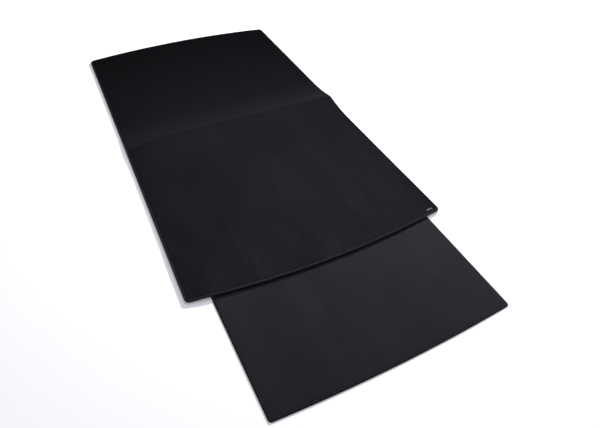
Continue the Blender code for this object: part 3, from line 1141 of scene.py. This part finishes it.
def thinning(y):
    """From 0 at the fold, where the apron is one cloth, to 1 where it has its full thickness."""
    return smoothstep((FOLD_Y - np.asarray(y, float) - FACE_STOP) / THIN_REACH)


def face_lie(x, y):
    flap = FLAP_TOP + FACE_THICKNESS + 0.1 * MM
    return apron_lie(x, y) + flap + (APRON_TOP - flap) * thinning(y)


apron_rows = [FOLD_Y - s for s in np.arange(4 * MM, 28 * MM, 4 * MM)]
apron_rows += [FOLD_Y - s for s in np.arange(36 * MM, APRON_LENGTH + APRON_BOW, 12 * MM)]
hem_roll = [(1.6 * MM, 0.1 * MM), (1.0 * MM, 0.4 * MM), (0.6 * MM, 0.9 * MM)]
face_inset = HEM_WIDTH + sum(step for step, _ in hem_roll)
face_mesh = cut_cloth(
    "apron_cover",
    apron_rim(face_inset, FACE_STOP),
    columns(APRON_WIDTH / 2, 12 * MM, APRON_MIDDLE),
    apron_rows,
    hem_roll,
    apron_outward,
    FOLD_Y - FACE_STOP,
)
lay(face_mesh, face_lie, 0.0)
apron_cover = finish_cloth(face_mesh, coated, FACE_THICKNESS)
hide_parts("apron_face")
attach(apron_cover, "apron")

lining_mesh = cut_cloth(
    "apron_lining_cloth",
    apron_rim(HEM_WIDTH + 0.2 * MM, LINING_STOP),
    columns(APRON_WIDTH / 2, 30 * MM, APRON_MIDDLE),
    [FOLD_Y - s for s in np.arange(30 * MM, APRON_LENGTH + APRON_BOW, 30 * MM)],
)
lay(lining_mesh, apron_lie, LINING_THICKNESS)
apron_lining = finish_cloth(lining_mesh, fleece, LINING_THICKNESS)
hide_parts("apron_lining")
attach(apron_lining, "apron")


def padding_lie(x, y):
    return face_lie(x, y) - FACE_THICKNESS - PADDING_GAP


padding_mesh = cut_cloth(
    "apron_padding_felt",
    apron_rim(PADDING_INSET, LINING_STOP + 2 * MM),
    columns(APRON_WIDTH / 2, 60 * MM, APRON_MIDDLE),
    [FOLD_Y - s for s in np.arange(20 * MM, APRON_LENGTH + APRON_BOW, 20 * MM)],
)
lay(padding_mesh, padding_lie, 0.0)
apron_padding = finish_cloth(padding_mesh, felt, PADDING_THICKNESS)
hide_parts("apron_padding")
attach(apron_padding, "apron")
print("apron cover faces:", len(apron_cover.data.polygons))

# %% [markdown]
# The hem is bound like the mat, but with a strip of the apron's own cloth, and it is thinner. It stops
# at the fold, so its two ends are closed.

# %% Apron hem
HEM_STOP, HEM_SEAM_INSET, HEM_SEAM_STOP = 1 * MM, 6.4 * MM, 6 * MM
hem = sweep_section(
    "apron_hem_tape",
    lambda inset: apron_rim(inset, FACE_STOP + HEM_STOP),
    bound_section(HEM_WIDTH, 0.0, APRON_TOP, wall=0.8 * MM, roll=2.0 * MM, curl=0.4 * MM),
    apron_lie,
    False,
    coated,
)
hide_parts("apron_hem")
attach(hem, "apron")
hem_line = raised(apron_rim(HEM_SEAM_INSET, HEM_SEAM_STOP), apron_lie, APRON_TOP + 0.15 * MM)
hem_row = sew("hem_stitches", hem_line, False, {})
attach(hem_row, "apron")
print("hem faces:", len(hem.data.polygons), "hem stitches:", len(hem_row.data.polygons))

# %% [markdown]
# ## The anchor
#
# One strip of coated cloth joins the apron to the mat. Its rear end is sewn between the apron's face
# and lining, it turns at the fold line, and its front end carries three patches of hook tape that grip
# three patches of loop tape under the mat.

# %% Anchor cloth
ANCHOR_END = high("apron_anchor").y
TUCK, FOLD_HALF, FLAP_THICKNESS = 13 * MM, 7 * MM, 1.2 * MM
flap_left, flap_right = APRON_LOW.x + 1 * MM, APRON_HIGH.x - 1 * MM
near_side = [(flap_left, FOLD_Y - TUCK), (flap_right, FOLD_Y - TUCK)]
flap_rim = near_side + [(flap_right, ANCHOR_END), (flap_left, ANCHOR_END)]
flap_rows = [FOLD_Y + s for s in np.arange(-12 * MM, 13 * MM, 1.5 * MM)]
flap_rows += [FOLD_Y + s for s in np.arange(30 * MM, ANCHOR_END - FOLD_Y, 20 * MM)]
flap_columns = columns(APRON_WIDTH / 2, 30 * MM, APRON_MIDDLE)
flap_mesh = cut_cloth("apron_fold_cloth", flap_rim, flap_columns, flap_rows)
lay(flap_mesh, lambda x, y: 0.0 * x, FLAP_TOP)
flap = finish_cloth(flap_mesh, coated, FLAP_THICKNESS)
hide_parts("apron_anchor")
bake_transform(flap)
tack_y = FOLD_Y - 10 * MM
tack_line = [(x, tack_y) for x in columns(APRON_WIDTH / 2 - 12 * MM, 20 * MM, APRON_MIDDLE)]
tack_row = sew("fold_stitches", raised(tack_line, face_lie, 0.1 * MM), False, {})
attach(tack_row, "apron")
print("anchor depth:", round((ANCHOR_END - FOLD_Y) * 1000), "mm")

# %% [markdown]
# ## Hook-and-loop tapes
#
# The hook patches are thin nylon tapes with rows of short stems. The stems come from the same scatter
# tree as the studs, only smaller and closer. The tapes under them keep the shape the frame gives them.

# %% Tapes
STEM = {"Foot radius": 0.3 * MM, "Tip radius": 0.5 * MM, "Height": 0.26 * MM, "Sides": 5}
STEM_PITCH, STEM_COLUMNS, STEM_ROWS = 2.5 * MM, 56, 19
for place in ("left", "centre", "right"):
    for kind in ("hook_tape", "loop_tape"):
        node = frame["nodes"][f"{kind}_{place}"]
        node.data.materials.clear()
        node.data.materials.append(hooks)
    corner_low, corner_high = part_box(f"hook_tape_{place}")
    spots = []
    for i in range(STEM_COLUMNS):
        for j in range(STEM_ROWS):
            x = corner_low.x + STEM_PITCH * (i + 0.6)
            y = corner_low.y + STEM_PITCH * (j + 1.0)
            spots.append((x, y, corner_high.z + 0.14 * MM))
    stems = grow(f"hook_stems_{place}", spots, scatter, {"Material": hooks, **STEM})
    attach(stems, "rear_half")
    print("hook stems", place, len(stems.data.polygons))

# %% [markdown]
# ## The label
#
# A woven label is sewn into the rear right corner. It carries one plain pale bar of satin stitches and
# no lettering. The cloth is pressed into the pile at its edges and swells a little in the middle.

# %% Label
LABEL_MIDDLE = ((low("label_cloth") + high("label_cloth")) / 2).xy
LABEL_TURN = math.radians(7)
LABEL_SIZE, BAR_SIZE = (34 * MM, 12 * MM), (26 * MM, 4.4 * MM)
PILLOW, PRESSED_REACH = 0.8 * MM, 4 * MM
label_place = Matrix.Translation((*LABEL_MIDDLE, 0.0)) @ Matrix.Rotation(LABEL_TURN, 4, "Z")


def label_lie(x, y):
    """The label's top: pillowed in the middle, pressed down round its edge."""
    spots = np.column_stack([x, y, np.zeros_like(x), np.ones_like(x)])
    local = spots @ np.array(label_place.inverted()).T
    side = LABEL_SIZE[0] / 2 - np.abs(local[:, 0])
    end = LABEL_SIZE[1] / 2 - np.abs(local[:, 1])
    pillow = smoothstep(np.minimum(side, end) / PRESSED_REACH)
    return mat_lie(x, y) + MAT_TOP + 0.1 * MM + PILLOW * pillow


shape = bmesh.new()
bmesh.ops.create_grid(shape, x_segments=27, y_segments=9, size=0.5)
bmesh.ops.scale(shape, vec=(*LABEL_SIZE, 1.0), verts=shape.verts)
bmesh.ops.transform(shape, matrix=label_place, verts=shape.verts)
label_mesh = to_mesh(shape, "label_patch")
lay(label_mesh, label_lie, 0.0)
label = finish_cloth(label_mesh, label_cloth, 0.5 * MM)
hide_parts("label_cloth")
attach(label, "rear_half")
print("label faces:", len(label.data.polygons))

# %% [markdown]
# Satin stitch is a row of long stitches laid side by side. One arc of pale thread is made as deep as the
# bar, and the tree puts a copy on every point along the bar's middle. A row of small black stitches, from
# the same tree as the mat's seam, holds the label down.

# %% Satin bar
THREAD_PITCH, BAR_CROWN = 0.75 * MM, 0.9 * MM


def label_spot(along, across, height):
    """A point of the flat label, lifted to a height above where its top lies."""
    spot = label_place @ Vector((along, across, 0.0))
    top = label_lie(np.array([spot.x]), np.array([spot.y]))[0]
    return (spot.x, spot.y, float(top) + height)


satin, at, out = new_grower(
    "satin_bar",
    [
        ("Bar depth", FLOAT, BAR_SIZE[1]),
        ("Thread radius", FLOAT, 0.42 * MM),
        ("Turn", FLOAT, LABEL_TURN),
    ],
)
half_depth = maths(satin, "MULTIPLY", at["Bar depth"], 0.5)
ends = [vector(satin, y=maths(satin, "MULTIPLY", half_depth, sign)) for sign in (-1.0, 1.0)]
satin_stitch = thread_arc(satin, ends, vector(satin, z=BAR_CROWN), 6, 6, at["Thread radius"])
plant(satin, at, out, at["Geometry"], satin_stitch, vector(satin, z=at["Turn"]))
bar_points = [
    label_spot(-BAR_SIZE[0] / 2 + THREAD_PITCH * (i + 0.5), 0.0, 0.15 * MM)
    for i in range(int(BAR_SIZE[0] / THREAD_PITCH))
]
bar = grow("label_satin_bar", bar_points, satin, {"Material": pale_thread})
bar.data.shade_smooth()
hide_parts("label_bar")
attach(bar, "rear_half")
print("bar threads:", len(bar_points))

# %% Label stitches
LABEL_SEAM_INSET = 1.6 * MM
seam_half = [size / 2 - LABEL_SEAM_INSET for size in LABEL_SIZE]
seam_points = [
    label_spot(along * seam_half[0], across * seam_half[1], 0.1 * MM)
    for along, across in ((-1, -1), (1, -1), (1, 1), (-1, 1))
]
label_thread = {"Pitch": 2.6 * MM, "Stitch length": 2.0 * MM, "Thread radius": 0.25 * MM, "Arch": 0.2 * MM}
label_row = sew("label_stitches", seam_points, True, label_thread)
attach(label_row, "rear_half")
print("label stitches:", len(label_row.data.polygons))

# %% [markdown]
# ## Floor and light
#
# The mat lies on a plain white floor under a pale sky. A small window light low on the far right draws
# the thin shadow along the left sides and under the rear edge. It and the sky don't show in reflections.
# Those come from three soft lights above the mat, its front and its rear rim, which give the cloth its
# bloom. The floor's far glow and the bright backdrop are there for the camera alone: they make the white
# even, and they light nothing.

# %% Stage
WHITE = (1.0, 1.0, 1.0, 1.0)
FLOOR_GLOW, FAR_GLOW, GLOW_FROM, GLOW_TO = 0.22, 0.9, 1.3, 4.0
SKY_LIGHT, BACKDROP = 0.17, 0.95
shape = bmesh.new()
bmesh.ops.create_grid(shape, x_segments=1, y_segments=1, size=20.0)
bmesh.ops.translate(shape, vec=(0, 0, -0.4 * MM), verts=shape.verts)
floor = link(to_mesh(shape, "studio_floor"))
white, tree, shader = new_material("studio_white", 0.9, 1.2)
shader.inputs["Base Color"].default_value = (0.9, 0.9, 0.9, 1.0)
shader.inputs["Emission Color"].default_value = WHITE
away = add_node(tree, "ShaderNodeVectorMath", {0: object_place(tree)}, operation="LENGTH").outputs["Value"]
fading = map_range(tree, away, GLOW_FROM, GLOW_TO, 0.0, FAR_GLOW, "SMOOTHSTEP")
seen = add_node(tree, "ShaderNodeLightPath").outputs["Is Camera Ray"]
glow = maths(tree, "MULTIPLY_ADD", fading, seen, FLOOR_GLOW)
tree.links.new(glow, shader.inputs["Emission Strength"])
floor.data.materials.append(white)

world = bpy.data.worlds.new("studio")
bpy.context.scene.world = world
world.use_nodes = True
sky = world.node_tree
seen = add_node(sky, "ShaderNodeLightPath").outputs["Is Camera Ray"]
background = sky.nodes["Background"]
background.inputs["Color"].default_value = WHITE
sky.links.new(map_range(sky, seen, 0.0, 1.0, SKY_LIGHT, BACKDROP), background.inputs["Strength"])
world.cycles_visibility.glossy = False


def soft_light(name, place, aim, size, watts, colour):
    """A square light at a place, turned to look at a point on the mat."""
    data = bpy.data.lights.new(name, "AREA")
    data.shape = "SQUARE"
    data.size = size
    data.energy = watts
    data.color = colour
    lamp = bpy.data.objects.new(name, data)
    bpy.context.scene.collection.objects.link(lamp)
    lamp.visible_camera = False
    away = Vector(place) - Vector(aim)
    lamp.location = place
    lamp.rotation_mode = "QUATERNION"
    lamp.rotation_quaternion = away.to_track_quat("Z", "Y")
    return lamp


BLUISH = (0.935, 0.96, 1.15)
window = soft_light("window_light", (6.9, 5.2, 3.9), (0.0, 0.0, 0.0), 0.7, 1440, (1, 1, 1))
window.visible_glossy = False
soft_light("mat_light", (0.5, 0.0, 1.5), (0.1, 0.0, 0.0), 1.2, 10.0, BLUISH)
soft_light("front_light", (-0.2, 0.7, 1.5), (0.1, 0.0, 0.0), 1.2, 3.0, BLUISH)
soft_light("rim_light", (0.8, -1.05, 1.5), (0.2, -0.68, 0.0), 0.7, 3.3, BLUISH)
bpy.context.scene.view_settings.view_transform = "Standard"
print("lights:", [item.name for item in bpy.data.lights])

# %% [markdown]
# ## Finish
#
# Last the scene is brought up to date. The dressed model has to stay inside the frame's box, give
# or take the little that cloth may stand proud.

# %% Finish
bpy.context.view_layer.update()
